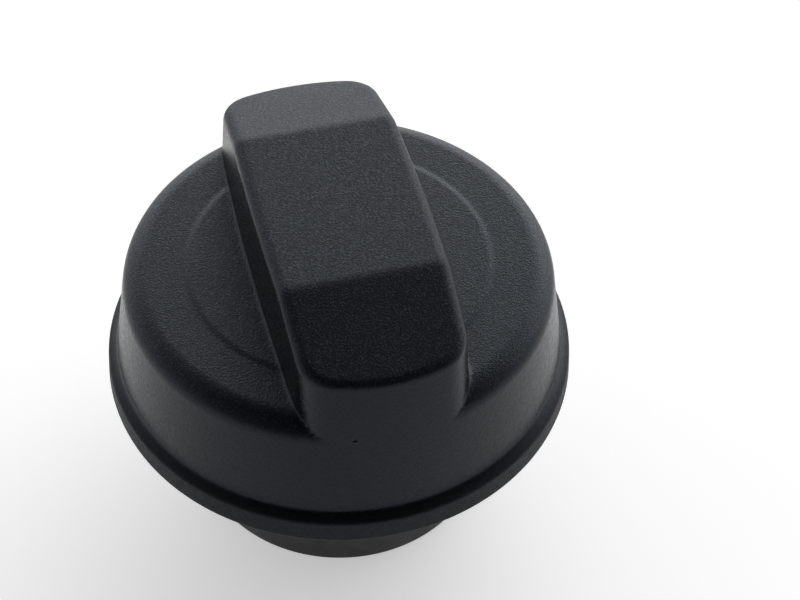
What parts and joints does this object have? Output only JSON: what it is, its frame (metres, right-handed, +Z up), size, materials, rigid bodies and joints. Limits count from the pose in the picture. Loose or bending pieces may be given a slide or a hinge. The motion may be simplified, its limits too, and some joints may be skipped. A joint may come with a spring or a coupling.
{
  "type": "fuel cap",
  "caption": "Round screw-in fuel cap with a bar handle across its disc, a click ratchet, a neck seal and a two-way vent valve in the plug.",
  "frame": {"origin": "middle of the plug's nose end, which the cap stands on", "axes": "+Z up the cap's axis, from the plug to the handle; the handle lies along Y"},
  "size_m": [0.0762, 0.0762, 0.061],
  "materials": {
    "cover_plastic": "fine spark-eroded grain on the top, smoother on the skirt",
    "plug_plastic": "smooth moulded black",
    "ring_plastic": "dark grey acetal, tumbled",
    "natural_plastic": "natural acetal, as moulded",
    "slip_plastic": "smooth low-friction sheet",
    "seal_rubber": "smooth matt rubber",
    "spring_steel": "drawn spring steel with a light oil film",
    "washer_steel": "stamped and tumbled steel"
  },
  "bodies": {
    "plug_body": {"plug": "plug_plastic", "neck_seal": "seal_rubber", "slip_ring": "slip_plastic", "ratchet_ring": "natural_plastic", "wave_washer": "spring_steel", "splash_guard": "plug_plastic", "valve_housing": "natural_plastic", "housing_o_ring": "seal_rubber", "spring_cap": "natural_plastic", "pressure_spring": "spring_steel"},
    "cover_body": {"cover": "cover_plastic", "drive_ring": "natural_plastic", "retaining_ring": "ring_plastic", "thrust_washer": "washer_steel"},
    "pressure_valve": {"pressure_plate": "natural_plastic", "pressure_seal": "seal_rubber", "vacuum_spring": "spring_steel"},
    "vacuum_valve": {"vacuum_stem": "natural_plastic", "vacuum_seal": "seal_rubber", "vacuum_collar": "washer_steel"}
  },
  "joints": [
    {"name": "cover_turn", "type": "hinge", "parent": "plug_body", "child": "cover_body", "pos_m": [0, 0, 0], "axis": [0, 0, 1], "continuous": true},
    {"name": "pressure_lift", "type": "slide", "parent": "plug_body", "child": "pressure_valve", "axis": [0, 0, 1], "range_m": [0, 0.0025], "stiffness_N_per_m": 600, "springref_m": -0.005, "deforming": ["pressure_spring"]},
    {"name": "vacuum_open", "type": "slide", "parent": "pressure_valve", "child": "vacuum_valve", "axis": [0, 0, -1], "range_m": [0, 0.0024], "stiffness_N_per_m": 60, "springref_m": -0.003, "deforming": ["vacuum_spring"]}
  ]
}
